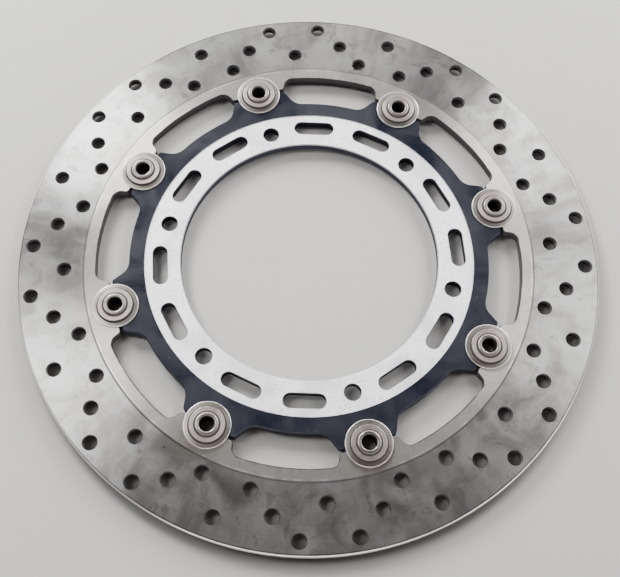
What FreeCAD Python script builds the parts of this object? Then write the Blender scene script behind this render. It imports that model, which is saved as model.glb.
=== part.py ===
import FreeCAD, Part
import math
import os

# A floating brake disc for a motorcycle's front wheel.
#
# A drilled steel ring is carried by an aluminium carrier. Eight hollow bobbins sit in round seats, half of
# each seat in a tab of the ring and half in an arm of the carrier. On each bobbin a dished spring washer and
# a plain washer are held down by the bobbin's rolled lip, and its flange closes the stack from the back.
#
# Millimetres. The origin is the centre of the bore, on the hub seat at the back of the carrier. +Z points to
# the outer face, where the rolled lips are. Bobbin 1 is on +Y. Angles run clockwise from +Y seen from +Z.

# Pattern
BOBBIN_COUNT = 8
BOBBIN_PITCH = 360.0 / BOBBIN_COUNT
BOLT_COUNT = 6
BOLT_PITCH = 360.0 / BOLT_COUNT

# Friction ring
RING_RADIUS = 149.0
RING_THICKNESS = 5.0
BAND_INNER_RADIUS = 115.3
BAND_WEAR = 0.2
BAND_STEP_WIDTH = 0.5
RIM_CHAMFER = 0.8
RING_WINDOW_RADIUS = 109.0
RING_WINDOW_HALF_WIDTH = 25.5
RING_WINDOW_CORNER = 4.5
RING_EDGE_BREAK = 0.3
TAB_CORNER = 1.8

# Drilled holes: one sector of 45 degrees holds eight, evenly spaced round the ring
DRILL_RADIUS = 3.5
DRILL_CHAMFER = 0.3
DRILL_FIRST_ANGLE = 1.2
DRILL_ROW_RADII = (131.9, 141.9, 125.1, 141.9, 131.9, 121.8, 138.6, 121.8)
DRILL_PITCH = BOBBIN_PITCH / len(DRILL_ROW_RADII)

# Carrier
BORE_RADIUS = 66.0
BORE_CHAMFER = 0.5
HUB_SEAT_RADIUS = 84.5
HUB_SEAT_DEPTH = 0.3
SEAT_THICKNESS = RING_THICKNESS
ARM_BACK = -HUB_SEAT_DEPTH
ARM_FRONT = SEAT_THICKNESS + HUB_SEAT_DEPTH
CARRIER_RIM_RADIUS = 92.3
ARM_SIDE_ANGLE = 45.0
ARM_SIDE_OFFSET = 72.6
ARM_ROOT_FILLET = 8.0
ARM_CORNER = 1.8
ARM_EDGE_BREAK = 0.4
BOLT_CIRCLE_RADIUS = 75.0
BOLT_HOLE_RADIUS = 4.25
BOLT_HOLE_CHAMFER = 0.2
SLOT_CIRCLE_RADIUS = 76.4
SLOT_LENGTH = 21.2
SLOT_WIDTH = 7.5
SLOT_EDGE_BREAK = 0.2
SLOT_ANGLES = (18.0, 42.0)

# Bobbin seats, between the tabs of the ring and the arms of the carrier
SEAT_CIRCLE_RADIUS = 101.0
TAB_END_RADIUS = 101.6
ARM_END_RADIUS = 100.1
BOBBIN_CLEARANCE = 0.08
RING_CLEARANCE = 0.35

# Bobbin
BARREL_RADIUS = 6.5
NECK_RADIUS = 5.2
HOLE_RADIUS = 3.8
FLANGE_RADIUS = 10.5
FLANGE_THICKNESS = 1.3
FLANGE_CHAMFER = 0.3
LIP_RADIUS = 5.8
LIP_HEIGHT = 1.0
LIP_OUTER_ROUND = 0.85
LIP_INNER_ROUND = 0.5

# Washers
WASHER_HOLE_RADIUS = 5.35
SPRING_WASHER_RADIUS = 11.5
SPRING_WASHER_THICKNESS = 0.7
SPRING_WASHER_RISE = 0.5
PLAIN_WASHER_RADIUS = 8.7
PLAIN_WASHER_THICKNESS = 0.8
WASHER_EDGE_ROUND = 0.25

# Heights that follow from the wear and from the stack on each bobbin
BAND_BACK = BAND_WEAR
BAND_FRONT = RING_THICKNESS - BAND_WEAR
SPRING_WASHER_TOP = ARM_FRONT + SPRING_WASHER_RISE + SPRING_WASHER_THICKNESS
PLAIN_WASHER_TOP = SPRING_WASHER_TOP + PLAIN_WASHER_THICKNESS
LIP_TOP = PLAIN_WASHER_TOP + LIP_HEIGHT
FLANGE_BACK = ARM_BACK - FLANGE_THICKNESS

# How far a cutter stands out of the faces it goes through
OVERCUT = 1.0

# Edges are found by where they lie, to this tolerance, at this many points along each
LENGTH_TOLERANCE = 1e-4
POINTS_PER_EDGE = 5

ORIGIN = FreeCAD.Vector(0, 0, 0)
Z_AXIS = FreeCAD.Vector(0, 0, 1)


def polar_point(radius, angle, z=0.0):
    """The point at a radius and at an angle clockwise from +Y."""
    turn = math.radians(angle)
    return FreeCAD.Vector(radius * math.sin(turn), radius * math.cos(turn), z)


def turned_to(shape, angle):
    """A copy of a shape made on +Y, turned clockwise about Z."""
    copy = shape.copy()
    copy.rotate(ORIGIN, Z_AXIS, -angle)
    return copy


def repeated(shape, angles):
    """One copy of a shape made on +Y at each of the angles."""
    return [turned_to(shape, angle) for angle in angles]


def evenly_spaced(count):
    return [360.0 * index / count for index in range(count)]


def revolved(corners):
    """The solid that a closed outline of (radius, height) corners sweeps round Z."""
    points = [FreeCAD.Vector(radius, 0, height) for radius, height in corners]
    outline = Part.makePolygon(points + points[:1])
    return Part.Face(outline).revolve(ORIGIN, Z_AXIS, 360)


def extruded(edges, bottom, top):
    """The prism over a closed outline of edges drawn at height zero."""
    face = Part.Face(Part.Wire(edges))
    face.translate(FreeCAD.Vector(0, 0, bottom))
    return face.extrude(FreeCAD.Vector(0, 0, top - bottom))


def upright_edges(shape, low_radius, high_radius):
    """The straight edges along Z whose distance from the axis lies between two radii."""
    found = []
    for edge in shape.Edges:
        ends = [vertex.Point for vertex in edge.Vertexes]
        if len(ends) != 2:
            continue
        across = math.hypot(ends[0].x - ends[1].x, ends[0].y - ends[1].y)
        radius = math.hypot(ends[0].x, ends[0].y)
        if across < LENGTH_TOLERANCE and low_radius < radius < high_radius:
            found.append(edge)
    return found


def level_edges(shape, height, low_radius, high_radius):
    """The edges that lie flat at a height, with every point between two radii."""
    found = []
    for edge in shape.Edges:
        points = edge.discretize(POINTS_PER_EDGE)
        radii = [math.hypot(point.x, point.y) for point in points]
        is_level = all(abs(point.z - height) < LENGTH_TOLERANCE for point in points)
        if is_level and low_radius < min(radii) and max(radii) < high_radius:
            found.append(edge)
    return found


def chamfered_hole(radius, chamfer, bottom, top):
    """A cutter on the Z axis for a round hole whose two mouths are chamfered."""
    wide = radius + chamfer + OVERCUT
    corners = [
        (0, bottom - OVERCUT),
        (wide, bottom - OVERCUT),
        (radius, bottom + chamfer),
        (radius, top - chamfer),
        (wide, top + OVERCUT),
        (0, top + OVERCUT),
    ]
    return revolved(corners)


def gap_corner(corner, side, angle):
    """A gap's corner, turned with the gap from +Y to an angle. Side is 1 on the right half and -1 on the left."""
    x, y = corner
    return polar_point(y, angle) + polar_point(side * x, angle + 90)


def scalloped_outline(end_corner, arc_corner, arc_radius):
    """Closed outline of arcs about Z between the bobbins, joined past each bobbin by straight lines.

    The two corners are those on the right half of a gap between bobbins, drawn with that gap on +Y: the one
    at a tab's or arm's end, and the one on the arc. The left half is their mirror image.
    """
    edges = []
    for index in range(BOBBIN_COUNT):
        middle = (index + 0.5) * BOBBIN_PITCH
        left_end = gap_corner(end_corner, -1, middle)
        left_arc = gap_corner(arc_corner, -1, middle)
        right_arc = gap_corner(arc_corner, 1, middle)
        right_end = gap_corner(end_corner, 1, middle)
        next_left_end = gap_corner(end_corner, -1, middle + BOBBIN_PITCH)
        edges.append(Part.makeLine(left_end, left_arc))
        edges.append(Part.Arc(left_arc, polar_point(arc_radius, middle), right_arc).toShape())
        edges.append(Part.makeLine(right_arc, right_end))
        edges.append(Part.makeLine(right_end, next_left_end))
    return edges


def where_side_meets_end(end_radius, side_x_at, side_slope):
    """Where a gap's right side meets the end line of the next tab or arm.

    The gap is drawn on +Y. The side is the line x = side_x_at + side_slope * y. The end line is square to
    the next bobbin's radius, end_radius from the axis.
    """
    half = math.radians(BOBBIN_PITCH / 2)
    y = (end_radius - side_x_at * math.sin(half)) / (math.cos(half) + side_slope * math.sin(half))
    return (side_x_at + side_slope * y, y)


def ring_opening():
    """The cutter for everything inside the ring: eight windows and the space between the tab ends."""
    end_corner = where_side_meets_end(TAB_END_RADIUS, RING_WINDOW_HALF_WIDTH, 0.0)
    arc_corner_y = math.sqrt(RING_WINDOW_RADIUS ** 2 - RING_WINDOW_HALF_WIDTH ** 2)
    arc_corner = (RING_WINDOW_HALF_WIDTH, arc_corner_y)
    outline = scalloped_outline(end_corner, arc_corner, RING_WINDOW_RADIUS)
    opening = extruded(outline, -OVERCUT, RING_THICKNESS + OVERCUT)
    between = (math.hypot(*end_corner) + RING_WINDOW_RADIUS) / 2
    opening = opening.makeFillet(TAB_CORNER, upright_edges(opening, 0, between))
    return opening.makeFillet(RING_WINDOW_CORNER, upright_edges(opening, between, RING_RADIUS))


def ring_blank():
    """The turned ring: a worn friction band, a taller inner land and a chamfered rim."""
    inside = TAB_END_RADIUS - OVERCUT
    land_edge = BAND_INNER_RADIUS - BAND_STEP_WIDTH / 2
    band_edge = BAND_INNER_RADIUS + BAND_STEP_WIDTH / 2
    corners = [
        (inside, 0),
        (land_edge, 0),
        (band_edge, BAND_BACK),
        (RING_RADIUS - RIM_CHAMFER, BAND_BACK),
        (RING_RADIUS, BAND_BACK + RIM_CHAMFER),
        (RING_RADIUS, BAND_FRONT - RIM_CHAMFER),
        (RING_RADIUS - RIM_CHAMFER, BAND_FRONT),
        (band_edge, BAND_FRONT),
        (land_edge, RING_THICKNESS),
        (inside, RING_THICKNESS),
    ]
    return revolved(corners)


def drilled_holes():
    """Cutters for the ring's cooling holes."""
    cutter = chamfered_hole(DRILL_RADIUS, DRILL_CHAMFER, BAND_BACK, BAND_FRONT)
    cutters = []
    for index in range(BOBBIN_COUNT * len(DRILL_ROW_RADII)):
        radius = DRILL_ROW_RADII[index % len(DRILL_ROW_RADII)]
        place = cutter.copy()
        place.translate(polar_point(radius, DRILL_FIRST_ANGLE + index * DRILL_PITCH))
        cutters.append(place)
    return cutters


def seat_cutters(radius, bottom, top):
    """Cutters for the round seats of the bobbins."""
    height = top - bottom + 2 * OVERCUT
    base = FreeCAD.Vector(0, SEAT_CIRCLE_RADIUS, bottom - OVERCUT)
    return repeated(Part.makeCylinder(radius, height, base, Z_AXIS), evenly_spaced(BOBBIN_COUNT))


def rotor_ring():
    ring = ring_blank().cut(ring_opening())
    for height in (0, RING_THICKNESS):
        edges = level_edges(ring, height, 0, BAND_INNER_RADIUS - BAND_STEP_WIDTH)
        ring = ring.makeChamfer(RING_EDGE_BREAK, edges)
    seats = seat_cutters(BARREL_RADIUS + RING_CLEARANCE, 0, RING_THICKNESS)
    return ring.cut(Part.makeCompound(seats + drilled_holes()))


def carrier_blank():
    """The carrier's plate: a rim between the bobbins, and an arm that spreads up to each of them."""
    slope = 1 / math.tan(math.radians(ARM_SIDE_ANGLE))
    side_x_at = -ARM_SIDE_OFFSET * slope
    end_corner = where_side_meets_end(ARM_END_RADIUS, side_x_at, slope)
    # The side x = side_x_at + slope * y crosses the rim where x^2 + y^2 is the rim's radius squared.
    a = 1 + slope ** 2
    b = slope * side_x_at
    c = side_x_at ** 2 - CARRIER_RIM_RADIUS ** 2
    arc_corner_y = (-b + math.sqrt(b ** 2 - a * c)) / a
    arc_corner = (side_x_at + slope * arc_corner_y, arc_corner_y)
    outline = scalloped_outline(end_corner, arc_corner, CARRIER_RIM_RADIUS)
    plate = extruded(outline, ARM_BACK, ARM_FRONT)
    between = (math.hypot(*end_corner) + CARRIER_RIM_RADIUS) / 2
    plate = plate.makeFillet(ARM_CORNER, upright_edges(plate, between, RING_RADIUS))
    return plate.makeFillet(ARM_ROOT_FILLET, upright_edges(plate, 0, between))


def slot_cutter():
    """A cutter for one straight slot with round ends, on +Y and square to the radius."""
    half_width = SLOT_WIDTH / 2
    reach = SLOT_LENGTH / 2 - half_width
    low = SLOT_CIRCLE_RADIUS - half_width
    high = SLOT_CIRCLE_RADIUS + half_width
    edges = [
        Part.makeLine(FreeCAD.Vector(-reach, low, 0), FreeCAD.Vector(reach, low, 0)),
        Part.Arc(
            FreeCAD.Vector(reach, low, 0),
            FreeCAD.Vector(reach + half_width, SLOT_CIRCLE_RADIUS, 0),
            FreeCAD.Vector(reach, high, 0),
        ).toShape(),
        Part.makeLine(FreeCAD.Vector(reach, high, 0), FreeCAD.Vector(-reach, high, 0)),
        Part.Arc(
            FreeCAD.Vector(-reach, high, 0),
            FreeCAD.Vector(-reach - half_width, SLOT_CIRCLE_RADIUS, 0),
            FreeCAD.Vector(-reach, low, 0),
        ).toShape(),
    ]
    return extruded(edges, -OVERCUT, SEAT_THICKNESS + OVERCUT)


def carrier():
    plate = carrier_blank()
    for height in (ARM_BACK, ARM_FRONT):
        edges = level_edges(plate, height, 0, RING_RADIUS)
        plate = plate.makeChamfer(ARM_EDGE_BREAK, edges)
    back_recess = Part.makeCylinder(HUB_SEAT_RADIUS, OVERCUT, FreeCAD.Vector(0, 0, -OVERCUT))
    front_recess = Part.makeCylinder(HUB_SEAT_RADIUS, OVERCUT, FreeCAD.Vector(0, 0, SEAT_THICKNESS))
    plate = plate.cut(Part.makeCompound([back_recess, front_recess]))
    slot_places = [turn + angle for turn in evenly_spaced(BOLT_COUNT) for angle in SLOT_ANGLES]
    plate = plate.cut(Part.makeCompound(repeated(slot_cutter(), slot_places)))
    for height in (0, SEAT_THICKNESS):
        edges = level_edges(plate, height, 0, HUB_SEAT_RADIUS - LENGTH_TOLERANCE)
        plate = plate.makeChamfer(SLOT_EDGE_BREAK, edges)
    bore = chamfered_hole(BORE_RADIUS, BORE_CHAMFER, 0, SEAT_THICKNESS)
    bolt_hole = chamfered_hole(BOLT_HOLE_RADIUS, BOLT_HOLE_CHAMFER, 0, SEAT_THICKNESS)
    bolt_hole.translate(polar_point(BOLT_CIRCLE_RADIUS, 0))
    bolt_holes = repeated(bolt_hole, evenly_spaced(BOLT_COUNT))
    seats = seat_cutters(BARREL_RADIUS + BOBBIN_CLEARANCE, ARM_BACK, ARM_FRONT)
    return plate.cut(Part.makeCompound([bore] + bolt_holes + seats))


def circle_edges(shape, radius, height):
    """The round edges of a turned piece at one radius and height."""
    return level_edges(shape, height, radius - LENGTH_TOLERANCE, radius + LENGTH_TOLERANCE)


def bobbin():
    """A hollow bobbin about Z: flange, barrel, neck and rolled lip."""
    corners = [
        (HOLE_RADIUS, FLANGE_BACK),
        (FLANGE_RADIUS - FLANGE_CHAMFER, FLANGE_BACK),
        (FLANGE_RADIUS, FLANGE_BACK + FLANGE_CHAMFER),
        (FLANGE_RADIUS, ARM_BACK),
        (BARREL_RADIUS, ARM_BACK),
        (BARREL_RADIUS, ARM_FRONT),
        (NECK_RADIUS, ARM_FRONT),
        (NECK_RADIUS, PLAIN_WASHER_TOP),
        (LIP_RADIUS, PLAIN_WASHER_TOP),
        (LIP_RADIUS, LIP_TOP),
        (HOLE_RADIUS, LIP_TOP),
    ]
    body = revolved(corners)
    body = body.makeFillet(LIP_OUTER_ROUND, circle_edges(body, LIP_RADIUS, LIP_TOP))
    return body.makeFillet(LIP_INNER_ROUND, circle_edges(body, HOLE_RADIUS, LIP_TOP))


def spring_washer():
    """A dished washer about Z: it stands on its outer edge, with its hole raised."""
    corners = [
        (SPRING_WASHER_RADIUS, ARM_FRONT),
        (SPRING_WASHER_RADIUS, ARM_FRONT + SPRING_WASHER_THICKNESS),
        (WASHER_HOLE_RADIUS, SPRING_WASHER_TOP),
        (WASHER_HOLE_RADIUS, SPRING_WASHER_TOP - SPRING_WASHER_THICKNESS),
    ]
    body = revolved(corners)
    rim = circle_edges(body, SPRING_WASHER_RADIUS, ARM_FRONT + SPRING_WASHER_THICKNESS)
    return body.makeFillet(WASHER_EDGE_ROUND, rim)


def plain_washer():
    """A flat washer about Z, under the bobbin's lip."""
    corners = [
        (WASHER_HOLE_RADIUS, SPRING_WASHER_TOP),
        (PLAIN_WASHER_RADIUS, SPRING_WASHER_TOP),
        (PLAIN_WASHER_RADIUS, PLAIN_WASHER_TOP),
        (WASHER_HOLE_RADIUS, PLAIN_WASHER_TOP),
    ]
    body = revolved(corners)
    return body.makeFillet(WASHER_EDGE_ROUND, circle_edges(body, PLAIN_WASHER_RADIUS, PLAIN_WASHER_TOP))


def on_bobbin_seat(shape, index):
    """A copy of a piece made about Z, moved to one bobbin's seat."""
    copy = shape.copy()
    copy.translate(FreeCAD.Vector(0, SEAT_CIRCLE_RADIUS, 0))
    return turned_to(copy, index * BOBBIN_PITCH)


def all_nodes():
    """Every piece of the brake disc under its node name."""
    nodes = {"rotor_ring": rotor_ring(), "carrier": carrier()}
    stack = {"bobbin": bobbin(), "spring_washer": spring_washer(), "plain_washer": plain_washer()}
    for index in range(BOBBIN_COUNT):
        for name, shape in stack.items():
            nodes[f"{name}_{index + 1}"] = on_bobbin_seat(shape, index)
    return nodes


os.makedirs("parts", exist_ok=True)
for node_name, node_shape in all_nodes().items():
    print(node_name, "solids", len(node_shape.Solids), "valid", node_shape.isValid(),
          "volume", round(node_shape.Volume, 1))
    node_shape.exportStep(f"parts/{node_name}.step")
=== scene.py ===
"""The looks of a floating motorcycle brake disc: its metals, a pale floor, soft light and the camera.

Everything is in metres in the CAD model's frame. +Z points to the disc's outer face and bobbin 1 is on +Y.
Inside the materials, lengths are in millimetres, so that wear and scratches read at their real size.
"""

import math

import bpy
from mathutils import Euler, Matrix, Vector


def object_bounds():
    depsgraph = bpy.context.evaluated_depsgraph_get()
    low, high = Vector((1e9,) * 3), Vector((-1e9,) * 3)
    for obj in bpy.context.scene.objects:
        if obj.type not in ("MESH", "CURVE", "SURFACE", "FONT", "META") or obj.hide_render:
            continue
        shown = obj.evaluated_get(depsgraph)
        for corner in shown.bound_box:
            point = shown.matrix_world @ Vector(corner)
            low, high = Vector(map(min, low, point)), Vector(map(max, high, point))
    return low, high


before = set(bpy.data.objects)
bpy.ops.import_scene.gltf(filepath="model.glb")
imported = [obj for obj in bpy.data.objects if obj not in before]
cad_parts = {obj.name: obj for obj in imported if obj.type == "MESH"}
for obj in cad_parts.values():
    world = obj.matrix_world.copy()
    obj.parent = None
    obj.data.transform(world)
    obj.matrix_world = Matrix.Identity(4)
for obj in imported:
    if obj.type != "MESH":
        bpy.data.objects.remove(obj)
cad_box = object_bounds()

# The way from the disc to the middle of the windows: clockwise from +Y, seen from above. The camera faces it.
ROOM_HEADING = math.radians(18.63)

# Camera: where it looks, from how far and from how high
CAMERA_TARGET = Vector((-0.00418, -0.01547, 0.0))
CAMERA_DISTANCE = 0.4523
CAMERA_ELEVATION = math.radians(67.88)
CAMERA_ROLL = math.radians(2.62)
CAMERA_LENS_MM = 51.26
CAMERA_SENSOR_MM = 36.0
CAMERA_CLIP_START = 0.01

# Light. A lamp's azimuth is in degrees clockwise from the room's heading, seen from above.
LAMP_DISTANCE = 1.2
LAMP_COLOR = (1.0, 0.995, 0.985)
LAMPS = {
    "left_window": {"azimuth": -40.0, "elevation": 31.0, "width": 0.44, "height": 0.40, "radiance": 41.0},
    "right_window": {"azimuth": 40.0, "elevation": 26.0, "width": 0.44, "height": 0.56, "radiance": 21.5},
    "left_softbox": {"azimuth": -80.0, "elevation": 54.0, "width": 0.30, "height": 0.60, "radiance": 11.5},
    "right_softbox": {"azimuth": 70.0, "elevation": 48.0, "width": 0.55, "height": 0.38, "radiance": 6.5},
    "far_softbox": {"azimuth": -3.0, "elevation": 22.0, "width": 0.80, "height": 0.36, "radiance": 9.0},
    "low_softbox": {"azimuth": 120.0, "elevation": 6.5, "width": 0.90, "height": 0.20, "radiance": 13.0},
    "near_softbox": {"azimuth": 180.0, "elevation": 12.0, "width": 1.60, "height": 0.34, "radiance": 8.0},
}
RIM_LAMPS = ("low_softbox", "near_softbox")

# Sky, as directions on a unit sphere. It darkens upwards between two heights, and goes over from its dimmer
# side to the windows' side between two cosines of the angle from the room's heading.
SKY_AHEAD = (2.65, 2.65, 2.68, 1.0)
SKY_BEHIND = (1.75, 1.68, 1.62, 1.0)
SKY_ZENITH = (0.066, 0.06, 0.058, 1.0)
SKY_AHEAD_HEIGHTS = (0.25, 0.55)
SKY_BEHIND_HEIGHTS = (0.22, 0.36)
SKY_TURN_COSINES = (-0.4, 0.6)

# Floor. Far from the disc, where the lamps don't reach, it is paler and glows a little.
FLOOR_SIZE = 60.0
FLOOR_COLOR = (0.51, 0.502, 0.488, 1.0)
FLOOR_CLOUD_TONE = 0.96
FAR_FLOOR_COLOR = (0.97, 0.96, 0.95, 1.0)
FAR_FLOOR_GLOW = 1.4
FLOOR_PALES_FROM = 0.45
FLOOR_PALES_TO = 2.5

# The disc's shade on the floor: a ring under the friction ring, and a round patch moved away from the
# windows. It is light far in under the disc and deepens towards the rim.
SHADE_COLOR = (0.05, 0.048, 0.046, 1.0)
UNDER_SHADE_INNER_RADIUS = 0.115
UNDER_SHADE_OUTER_RADIUS = 0.1475
UNDER_SHADE_BLUR = 0.0015
CAST_SHADE_RADIUS = 0.1405
CAST_SHADE_BLUR = 0.0085
CAST_SHADE_SHIFT = 0.008
SHADE_DEEPENS_FROM = 0.136
SHADE_DEEPENS_TO = 0.146
LIGHT_SHADE = 0.12
DEEP_SHADE = 0.78

# Places on the disc, in millimetres
MM_PER_METRE = 1000.0
BOBBIN_COUNT = 8
BOBBIN_CIRCLE_RADIUS = 101.0
BOBBIN_HOLE_RADIUS = 3.8
HUB_SEAT_RADIUS = 84.5
WINDOW_RADIUS = 109.0
WINDOW_WALLS_TO = 112.0
HOLE_WALLS_FROM = 117.0
BAND_INNER_RADIUS = 115.3
GLINT_RADIUS = BAND_INNER_RADIUS - 0.9
GROOVE_RADIUS = 132.0
LIP_RADIUS = 147.9
RIM_WALL_RADIUS = 148.0
RIM_SHADE_RADIUS = 148.6
STAIN_FROM_BOBBIN = (26.0, 10.0)
BURR_FROM_BOBBIN = (19.0, 22.0)

# Colours of the metals
RING = {
    "band_dull": (0.345, 0.335, 0.327, 1),
    "band_bright": (0.545, 0.54, 0.537, 1),
    "smudge": (0.20, 0.187, 0.18, 1),
    "scratch": (0.62, 0.61, 0.60, 1),
    "land_clean": (0.56, 0.55, 0.54, 1),
    "land_stained": (0.43, 0.41, 0.39, 1),
    "bobbin_stain": (0.49, 0.45, 0.40, 1),
    "speck": (0.33, 0.315, 0.30, 1),
    "glint": (0.78, 0.77, 0.75, 1),
    "step_dark_line": (0.085, 0.077, 0.072, 1),
    "rim_chamfer": (0.66, 0.65, 0.635, 1),
    # Painted shade on the rim's outer side, which faces the shaded floor under the rim
    "rim_side_shade": (0.21, 0.20, 0.19, 1),
    "lip_dark_line": (0.13, 0.122, 0.118, 1),
    "window_burr": (0.08, 0.07, 0.065, 1),
    # The cut walls: dark steel painted darker still for their shade; the chamfers' near black is painted
    # shade
    "window_wall": (0.03, 0.024, 0.026, 1),
    "hole_wall": (0.075, 0.067, 0.07, 1),
    "cut_chamfer_shade": (0.02, 0.018, 0.018, 1),
}
CARRIER = {
    "machined_dull": (0.90, 0.905, 0.965, 1),
    "machined_bright": (0.95, 0.955, 0.995, 1),
    "machined_speck": (0.50, 0.51, 0.57, 1),
    "anodised_dark": (0.004, 0.005, 0.0115, 1),
    "anodised_pale": (0.009, 0.0105, 0.0195, 1),
    "anodised_speck": (0.10, 0.11, 0.13, 1),
}
PLATED = {
    "speck": (0.18, 0.158, 0.133, 1),
    "edge_highlight": (0.76, 0.715, 0.66, 1),
    "grime_and_shade": (0.02, 0.015, 0.013, 1),
}

# The small plated pieces: their tones, their roughness and how dark their stepped walls are painted, for
# grime and shade. Painted shade and grime also fill the corner round the piece of corner_radius that sits on
# one, and from the highlight radius out a painted highlight makes the edge paler.
BOBBIN_FINISH = {
    "light": (0.396, 0.36, 0.34, 1),
    "dark": (0.306, 0.275, 0.252, 1),
    "roughness": (0.26, 0.40),
    "wall_grime_and_shade": 0.9,
}
SPRING_WASHER_FINISH = {
    "light": (0.36, 0.34, 0.32, 1),
    "dark": (0.28, 0.252, 0.234, 1),
    "roughness": (0.28, 0.42),
    "wall_grime_and_shade": 0.0,
    "corner_radius": 8.7,
    "highlight_radius": 10.9,
}
PLAIN_WASHER_FINISH = {
    "light": (0.486, 0.44, 0.414, 1),
    "dark": (0.396, 0.355, 0.328, 1),
    "roughness": (0.34, 0.48),
    "wall_grime_and_shade": 0.9,
    "corner_radius": 5.8,
}


class Graph:
    """A node tree being built. A value is a number, a tuple, or the output of another node."""

    def __init__(self, tree):
        self.tree = tree
        tree.nodes.clear()

    def add(self, kind, inputs=(), **settings):
        """A node with its settings made and its inputs, named or numbered, filled in."""
        node = self.tree.nodes.new("ShaderNode" + kind)
        for name, value in settings.items():
            setattr(node, name, value)
        for socket, value in dict(inputs).items():
            if isinstance(value, bpy.types.NodeSocket):
                self.tree.links.new(value, node.inputs[socket])
            else:
                node.inputs[socket].default_value = value
        return node

    def math(self, operation, *values):
        return self.add("Math", enumerate(values), operation=operation).outputs[0]

    def plus(self, first, second):
        return self.math("ADD", first, second)

    def minus(self, first, second):
        return self.math("SUBTRACT", first, second)

    def times(self, first, second):
        return self.math("MULTIPLY", first, second)

    def swing(self, noise, size):
        """Noise, which runs from 0 to 1, as a swing of that whole size about zero."""
        return self.times(self.minus(noise, 0.5), size)

    def vector(self, operation, *values):
        """The vector that a vector operation gives."""
        return self.add("VectorMath", enumerate(values), operation=operation).outputs["Vector"]

    def length(self, value):
        return self.add("VectorMath", {0: value}, operation="LENGTH").outputs["Value"]

    def scaled(self, value, factor):
        return self.add("VectorMath", {0: value, "Scale": factor}, operation="SCALE").outputs["Vector"]

    def step(self, value, low, high):
        """A smooth step from 0 at low to 1 at high. With low above high it falls instead."""
        inputs = {"Value": value, "From Min": low, "From Max": high}
        return self.add("MapRange", inputs, interpolation_type="SMOOTHSTEP").outputs["Result"]

    def between(self, share, low, high):
        """low where share is 0 and high where it is 1."""
        inputs = {"Value": share, "To Min": low, "To Max": high}
        return self.add("MapRange", inputs).outputs["Result"]

    def mix(self, share, first, second):
        """The first colour where share is 0 and the second where it is 1."""
        inputs = {0: share, 6: first, 7: second}
        return self.add("Mix", inputs, data_type="RGBA").outputs[2]

    def noise(self, place, scale, detail=2.0, roughness=0.5, distortion=0.0):
        inputs = {
            "Vector": place,
            "Scale": scale,
            "Detail": detail,
            "Roughness": roughness,
            "Distortion": distortion,
        }
        return self.add("TexNoise", inputs).outputs["Fac"]


class Place:
    """Where a shaded point is on the disc, in millimetres, whatever the pose.

    level is 1 on a level face and 0 on an upright wall. upright is the other way round, and turns faster.
    """

    def __init__(self, graph):
        self.graph = graph
        source = graph.add("TexCoord")
        self.point = graph.scaled(source.outputs["Object"], MM_PER_METRE)
        flat = graph.vector("MULTIPLY", self.point, (1.0, 1.0, 0.0))
        self.radius = graph.length(flat)
        self.direction = graph.vector("NORMALIZE", flat)
        normal = graph.add("SeparateXYZ", {0: source.outputs["Normal"]})
        self.level = graph.math("ABSOLUTE", normal.outputs["Z"])
        self.upright = graph.step(self.level, 0.9, 0.6)

    def line(self, radius, outer, inner):
        """A line along a circle: 1 as near to its radius as inner, and 0 from outer on."""
        off_line = self.graph.math("ABSOLUTE", self.graph.minus(self.radius, radius))
        return self.graph.step(off_line, outer, inner)

    def grooves(self, width, length, detail=2.0):
        """Noise drawn out round the axle: about width across, and length along at the middle of the band."""
        graph = self.graph
        around = graph.scaled(self.direction, GROOVE_RADIUS / length)
        across = graph.add("CombineXYZ", {"Z": graph.math("DIVIDE", self.radius, width)}).outputs[0]
        return graph.noise(graph.vector("ADD", around, across), 1.0, detail)

    def to_bobbin(self):
        """The distance from the nearest bobbin's axis."""
        graph = self.graph
        pitch = 2.0 * math.pi / BOBBIN_COUNT
        parts = graph.add("SeparateXYZ", {0: self.point})
        angle = graph.math("ARCTAN2", parts.outputs["X"], parts.outputs["Y"])
        turns = graph.math("ROUND", graph.math("DIVIDE", angle, pitch))
        back = graph.add(
            "VectorRotate",
            {"Vector": self.point, "Angle": graph.times(turns, pitch)},
            rotation_type="Z_AXIS",
        ).outputs["Vector"]
        local = graph.vector("SUBTRACT", back, (0.0, BOBBIN_CIRCLE_RADIUS, 0.0))
        return graph.length(graph.vector("MULTIPLY", local, (1.0, 1.0, 0.0)))


def new_material(name):
    """A material with an empty node tree, as (material, graph)."""
    material = bpy.data.materials.new(name)
    material.use_nodes = True
    return material, Graph(material.node_tree)


def finish_material(graph, **inputs):
    """Adds the surface shader. Names are its sockets', with _ for each space."""
    named = {name.replace("_", " "): value for name, value in inputs.items()}
    shader = graph.add("BsdfPrincipled", named)
    graph.add("OutputMaterial", {"Surface": shader.outputs[0]})


class RingMarks:
    """The patterns of use that the ring's colours and sheen follow, each from 0 to 1; the fans are partly
    painted sheen.
    """

    def __init__(self, graph, place):
        self.patch = graph.noise(place.point, 0.045, 5.0, 0.62, 0.8)
        self.stain = graph.noise(place.point, 0.11, 6.0, 0.68, 0.5)
        self.speck = graph.noise(place.point, 0.7, 4.0, 0.65)
        # Radial fans of tone: partly wear, partly painted sheen for the streaks that the brushed steel's
        # highlights make
        self.fan_wear_and_sheen = place.grooves(45.0, 6.0, 4.0)
        self.fine_groove = place.grooves(0.25, 14.0)
        self.coarse_groove = place.grooves(1.1, 55.0)
        self.scratch = place.grooves(0.4, 6.0, 1.0)
        self.smear = graph.plus(graph.times(self.stain, 0.65), graph.times(self.fan_wear_and_sheen, 0.35))


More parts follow.
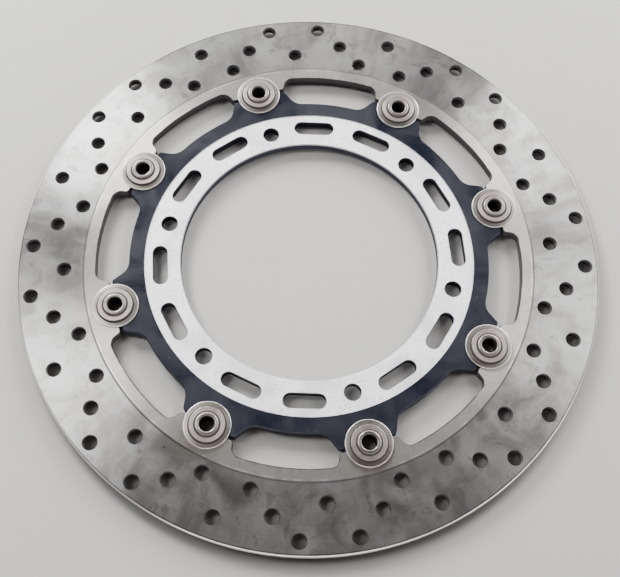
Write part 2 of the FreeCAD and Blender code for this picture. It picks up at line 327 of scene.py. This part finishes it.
def worn_share(graph, place):
    """1 on the band that the pads wear, and 0 on the unworn land and lip."""
    past_step = graph.step(place.radius, BAND_INNER_RADIUS - 0.3, BAND_INNER_RADIUS + 0.3)
    within_lip = graph.step(place.radius, LIP_RADIUS + 0.1, LIP_RADIUS - 0.1)
    return graph.times(past_step, within_lip)


def rim_share(graph, place):
    """1 on the rim's chamfer and side, and 0 inside them."""
    return graph.step(place.radius, RIM_WALL_RADIUS + 0.1, RIM_WALL_RADIUS + 0.3)


def band_color(graph, marks):
    """The worn band: patches of tone, fans of tone that are partly painted sheen, dark smudges and bright
    scratches.
    """
    tone = graph.plus(marks.patch, graph.swing(marks.coarse_groove, 0.12))
    # Partly painted sheen: the fans lighten and darken the band in radial streaks.
    tone = graph.plus(tone, graph.swing(marks.fan_wear_and_sheen, 0.45))
    color = graph.mix(graph.step(tone, 0.3, 0.65), RING["band_dull"], RING["band_bright"])
    smudge = graph.times(graph.step(marks.smear, 0.545, 0.615), 0.5)
    color = graph.mix(smudge, color, RING["smudge"])
    scratch = graph.times(graph.step(marks.scratch, 0.68, 0.76), 0.4)
    return graph.mix(scratch, color, RING["scratch"])


def face_color(graph, place, marks, worn):
    """The ring's faces: the worn band and the land inside it, stained near the bobbins, with specks."""
    land = graph.mix(graph.step(marks.stain, 0.35, 0.7), RING["land_clean"], RING["land_stained"])
    color = graph.mix(worn, land, band_color(graph, marks))
    near_bobbin = graph.step(place.to_bobbin(), *STAIN_FROM_BOBBIN)
    stain = graph.times(near_bobbin, graph.between(marks.stain, 0.2, 0.9))
    color = graph.mix(stain, color, RING["bobbin_stain"])
    return graph.mix(graph.step(marks.speck, 0.66, 0.80), color, RING["speck"])


def add_edge_lines(graph, place, marks, color):
    """The colour with the ring's edges drawn on it: the band's step, the rim, the lip and the windows."""
    glint = graph.times(place.line(GLINT_RADIUS, 0.5, 0.2), graph.step(marks.patch, 0.50, 0.58))
    color = graph.mix(glint, color, RING["glint"])
    # A dark line along the band's step, strongest where the stain noise is high.
    step_line = graph.times(place.line(BAND_INNER_RADIUS, 0.65, 0.2), graph.between(marks.stain, 0.6, 1.0))
    color = graph.mix(step_line, color, RING["step_dark_line"])
    color = graph.mix(rim_share(graph, place), color, RING["rim_chamfer"])
    # Painted shade: the rim's outer side is painted dark, for the shaded floor under the rim that it faces.
    rim_side_shade = graph.step(place.radius, RIM_SHADE_RADIUS, RIM_SHADE_RADIUS + 0.2)
    color = graph.mix(rim_side_shade, color, RING["rim_side_shade"])
    # A dark line along the lip, strongest where the stain noise is high.
    lip_line = graph.times(place.line(LIP_RADIUS, 0.5, 0.2), graph.between(marks.stain, 0.5, 1.0))
    color = graph.mix(lip_line, color, RING["lip_dark_line"])
    between_bobbins = graph.step(place.to_bobbin(), *BURR_FROM_BOBBIN)
    burr = graph.times(place.line(WINDOW_RADIUS, 0.7, 0.3), between_bobbins)
    burr = graph.times(burr, graph.step(marks.stain, 0.32, 0.5))
    return graph.mix(burr, color, RING["window_burr"])


def cut_wall_color(graph, place):
    """The walls cut through the ring, with painted shade: dark grey in the holes, darker in the windows and
    on the chamfers.
    """
    in_band = graph.step(place.radius, WINDOW_WALLS_TO, HOLE_WALLS_FROM)
    color = graph.mix(in_band, RING["window_wall"], RING["hole_wall"])
    # Painted shade: the chamfers are painted near black in place of their reflections.
    chamfer = graph.step(place.level, 0.4, 0.6)
    return graph.mix(chamfer, color, RING["cut_chamfer_shade"])


def ring_steel():
    """Ground stainless steel: fine circular scratches, smears and stains from use, and grime at the edges."""
    material, graph = new_material("ring_steel_worn")
    place = Place(graph)
    marks = RingMarks(graph, place)
    worn = worn_share(graph, place)
    inside_rim = graph.step(place.radius, RIM_WALL_RADIUS, RIM_WALL_RADIUS - 0.5)
    cut_wall = graph.times(graph.step(place.level, 0.97, 0.78), inside_rim)
    color = face_color(graph, place, marks, worn)
    color = add_edge_lines(graph, place, marks, color)
    color = graph.mix(cut_wall, color, cut_wall_color(graph, place))

    dullness = graph.plus(graph.times(marks.patch, 0.6), graph.times(marks.smear, 0.4))
    roughness = graph.between(dullness, 0.18, 0.46)
    roughness = graph.plus(roughness, graph.times(graph.minus(1.0, worn), 0.06))
    roughness = graph.plus(roughness, graph.times(cut_wall, 0.5))
    roughness = graph.plus(roughness, graph.times(rim_share(graph, place), 0.08))
    bump = graph.add("Bump", {"Strength": 0.22, "Distance": 0.00002, "Height": marks.fine_groove})
    finish_material(
        graph,
        Base_Color=color,
        Metallic=graph.between(cut_wall, 1.0, 0.2),
        Roughness=roughness,
        Anisotropic=0.8,
        Anisotropic_Rotation=0.25,
        Tangent=graph.add("Tangent", direction_type="RADIAL", axis="Z").outputs[0],
        Normal=bump.outputs[0],
    )
    return material


def carrier_alloy():
    """Navy anodised aluminium, with the seats round the bore machined bare."""
    material, graph = new_material("carrier_anodised_and_machined")
    place = Place(graph)
    inside = graph.step(place.radius, HUB_SEAT_RADIUS + 0.1, HUB_SEAT_RADIUS - 0.1)
    bare = graph.times(inside, graph.minus(1.0, place.upright))
    cloud = graph.noise(place.point, 0.04, 5.0, 0.62, 0.6)
    speck = graph.noise(place.point, 0.9, 3.0, 0.6)
    turned = place.grooves(0.3, 30.0)

    machined = graph.mix(cloud, CARRIER["machined_dull"], CARRIER["machined_bright"])
    dirty = graph.plus(speck, graph.between(cloud, -0.10, 0.10))
    machined = graph.mix(graph.step(dirty, 0.56, 0.72), machined, CARRIER["machined_speck"])
    anodised = graph.mix(cloud, CARRIER["anodised_dark"], CARRIER["anodised_pale"])
    anodised = graph.mix(graph.step(speck, 0.66, 0.8), anodised, CARRIER["anodised_speck"])

    satin = graph.between(graph.step(cloud, 0.3, 0.7), 0.22, 0.50)
    roughness = graph.plus(satin, graph.times(bare, 0.16))
    roughness = graph.plus(roughness, graph.times(place.upright, 0.4))
    bump = graph.add("Bump", {"Strength": 0.25, "Distance": 0.00002, "Height": turned})
    finish_material(
        graph,
        Base_Color=graph.mix(bare, anodised, machined),
        Metallic=graph.between(bare, 0.0, 0.6),
        Roughness=roughness,
        Specular_IOR_Level=0.36,
        Normal=bump.outputs[0],
    )
    return material


def plated_steel(name, light, dark, roughness, wall_grime_and_shade, corner_radius=None, highlight_radius=None):
    """Satin plated steel of a small turned or pressed piece, with grime and painted shade in its hole and on
    its steps.
    """
    material, graph = new_material(name)
    place = Place(graph)
    from_axis = place.to_bobbin()
    cloud = graph.noise(place.point, 0.22, 4.0, 0.6)
    speck = graph.noise(place.point, 1.6, 3.0, 0.6)
    color = graph.mix(cloud, dark, light)
    color = graph.mix(graph.step(speck, 0.6, 0.78), color, PLATED["speck"])
    # Painted highlight: from this radius out the outer edge is painted paler, for the light that it catches.
    if highlight_radius:
        edge_highlight = graph.step(from_axis, highlight_radius, highlight_radius + 0.4)
        color = graph.mix(edge_highlight, color, PLATED["edge_highlight"])

    # Grime and painted shade: the hole, the stepped walls and the corner round the piece above are painted
    # dark.
    in_hole = graph.step(from_axis, BOBBIN_HOLE_RADIUS + 0.25, BOBBIN_HOLE_RADIUS + 0.05)
    grime_and_shade = graph.math("MAXIMUM", graph.times(place.upright, wall_grime_and_shade), in_hole)
    if corner_radius:
        in_corner = graph.times(graph.step(from_axis, corner_radius + 0.9, corner_radius + 0.6), 0.95)
        grime_and_shade = graph.math("MAXIMUM", grime_and_shade, in_corner)

    bump = graph.add("Bump", {"Strength": 0.2, "Distance": 0.00003, "Height": speck})
    finish_material(
        graph,
        Base_Color=graph.mix(grime_and_shade, color, PLATED["grime_and_shade"]),
        Metallic=graph.between(grime_and_shade, 1.0, 0.0),
        Roughness=graph.plus(graph.between(cloud, *roughness), graph.times(grime_and_shade, 0.5)),
        Anisotropic=0.4,
        Anisotropic_Rotation=0.25,
        Tangent=graph.add("Tangent", direction_type="RADIAL", axis="Z").outputs[0],
        Normal=bump.outputs[0],
    )
    return material


def dress_nodes():
    """Gives every CAD node its material, chosen by the start of the node's name."""
    materials = {
        "rotor_ring": ring_steel(),
        "carrier": carrier_alloy(),
        "bobbin": plated_steel("bobbin_steel_satin", **BOBBIN_FINISH),
        "spring_washer": plated_steel("spring_washer_satin", **SPRING_WASHER_FINISH),
        "plain_washer": plated_steel("plain_washer_satin", **PLAIN_WASHER_FINISH),
    }
    for name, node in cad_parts.items():
        material = next(made for start, made in materials.items() if name.startswith(start))
        node.material_slots[0].material = material


def direction(heading, elevation):
    """The unit vector at a heading, clockwise from +Y seen from above, and an elevation, both in radians."""
    level = math.cos(elevation)
    return Vector((level * math.sin(heading), level * math.cos(heading), math.sin(elevation)))


def disc_shade(graph, point):
    """How shaded the floor is by the disc: under the ring, and just past the rim away from the windows."""
    from_middle = graph.length(point)
    inner_edge = UNDER_SHADE_INNER_RADIUS
    outer_edge = UNDER_SHADE_OUTER_RADIUS
    past_inner = graph.step(from_middle, inner_edge, inner_edge + UNDER_SHADE_BLUR)
    within_outer = graph.step(from_middle, outer_edge + UNDER_SHADE_BLUR, outer_edge)
    cast_middle = direction(ROOM_HEADING, 0.0) * -CAST_SHADE_SHIFT
    from_cast_middle = graph.length(graph.vector("SUBTRACT", point, cast_middle))
    within_cast = graph.step(from_cast_middle, CAST_SHADE_RADIUS + CAST_SHADE_BLUR, CAST_SHADE_RADIUS)
    shaded = graph.times(past_inner, graph.math("MAXIMUM", within_outer, within_cast))
    deep = graph.step(from_middle, SHADE_DEEPENS_FROM, SHADE_DEEPENS_TO)
    return graph.times(shaded, graph.between(deep, LIGHT_SHADE, DEEP_SHADE))


def floor_paint():
    """A plain pale table top, a little uneven in tone and sheen, with the disc's shade on it."""
    material, graph = new_material("pale_floor")
    point = graph.add("TexCoord").outputs["Object"]
    cloud = graph.noise(point, 5.0, 3.0, 0.5)
    grain = graph.noise(point, 900.0, 2.0, 0.5)
    darker = tuple(FLOOR_CLOUD_TONE * value for value in FLOOR_COLOR[:3]) + (1.0,)
    near = graph.mix(cloud, darker, FLOOR_COLOR)
    near = graph.mix(disc_shade(graph, point), near, SHADE_COLOR)
    far = graph.step(graph.length(point), FLOOR_PALES_FROM, FLOOR_PALES_TO)
    bump = graph.add("Bump", {"Strength": 0.15, "Distance": 0.00005, "Height": grain})
    finish_material(
        graph,
        Base_Color=graph.mix(far, near, FAR_FLOOR_COLOR),
        Roughness=0.55,
        Specular_IOR_Level=0.3,
        Emission_Color=FAR_FLOOR_COLOR,
        Emission_Strength=graph.between(far, 0.0, FAR_FLOOR_GLOW),
        Normal=bump.outputs[0],
    )
    return material


def make_floor(height):
    """A level square that the disc lies on."""
    mesh = bpy.data.meshes.new("floor")
    half = FLOOR_SIZE / 2
    corners = [(-half, -half, 0), (half, -half, 0), (half, half, 0), (-half, half, 0)]
    mesh.from_pydata(corners, [], [(0, 1, 2, 3)])
    mesh.materials.append(floor_paint())
    floor = bpy.data.objects.new("floor", mesh)
    floor.location.z = height
    bpy.context.scene.collection.objects.link(floor)
    return floor


def group_to_spare(floor):
    """A collection that keeps a lamp's light off the floor when it is the lamp's receiver collection."""
    group = bpy.data.collections.new("spared_floor")
    group.objects.link(floor)
    group.collection_objects[0].light_linking.link_state = "EXCLUDE"
    return group


def make_lamps(floor):
    """Soft lamps round the disc, all facing it. The low ones, away from the windows, light only the disc."""
    spared = group_to_spare(floor)
    for name, lamp in LAMPS.items():
        data = bpy.data.lights.new(name, "AREA")
        data.shape = "RECTANGLE"
        data.size = lamp["width"]
        data.size_y = lamp["height"]
        data.color = LAMP_COLOR
        data.energy = lamp["radiance"] * lamp["width"] * lamp["height"] * math.pi
        light = bpy.data.objects.new(name, data)
        towards = direction(math.radians(lamp["azimuth"]) + ROOM_HEADING, math.radians(lamp["elevation"]))
        light.location = towards * LAMP_DISTANCE
        light.rotation_mode = "QUATERNION"
        light.rotation_quaternion = towards.to_track_quat("Z", "Y")
        light.visible_camera = False
        if name in RIM_LAMPS:
            light.light_linking.receiver_collection = spared
        bpy.context.scene.collection.objects.link(light)


def make_sky():
    """A room that is pale towards the windows, dimmer on the other side and dark overhead."""
    world = bpy.data.worlds.new("studio")
    world.use_nodes = True
    bpy.context.scene.world = world
    graph = Graph(world.node_tree)
    towards = graph.add("TexCoord").outputs["Generated"]
    height = graph.add("SeparateXYZ", {0: towards}).outputs["Z"]
    heading = {0: towards, 1: direction(ROOM_HEADING, 0.0)}
    cosine = graph.add("VectorMath", heading, operation="DOT_PRODUCT").outputs["Value"]
    ahead = graph.mix(graph.step(height, *SKY_AHEAD_HEIGHTS), SKY_AHEAD, SKY_ZENITH)
    behind = graph.mix(graph.step(height, *SKY_BEHIND_HEIGHTS), SKY_BEHIND, SKY_ZENITH)
    color = graph.mix(graph.step(cosine, *SKY_TURN_COSINES), behind, ahead)
    background = graph.add("Background", {"Color": color})
    graph.add("OutputWorld", {"Surface": background.outputs[0]})


def make_camera():
    """The camera, above the disc on the side away from the windows."""
    data = bpy.data.cameras.new("camera")
    data.lens = CAMERA_LENS_MM
    data.sensor_width = CAMERA_SENSOR_MM
    data.clip_start = CAMERA_CLIP_START
    camera = bpy.data.objects.new("camera", data)
    back = direction(ROOM_HEADING + math.pi, CAMERA_ELEVATION)
    camera.location = CAMERA_TARGET + back * CAMERA_DISTANCE
    aim = (-back).to_track_quat("-Z", "Y")
    camera.rotation_mode = "QUATERNION"
    camera.rotation_quaternion = aim @ Euler((0.0, 0.0, CAMERA_ROLL)).to_quaternion()
    bpy.context.scene.collection.objects.link(camera)
    bpy.context.scene.camera = camera


dress_nodes()
floor = make_floor(cad_box[0].z)
make_lamps(floor)
make_sky()
make_camera()
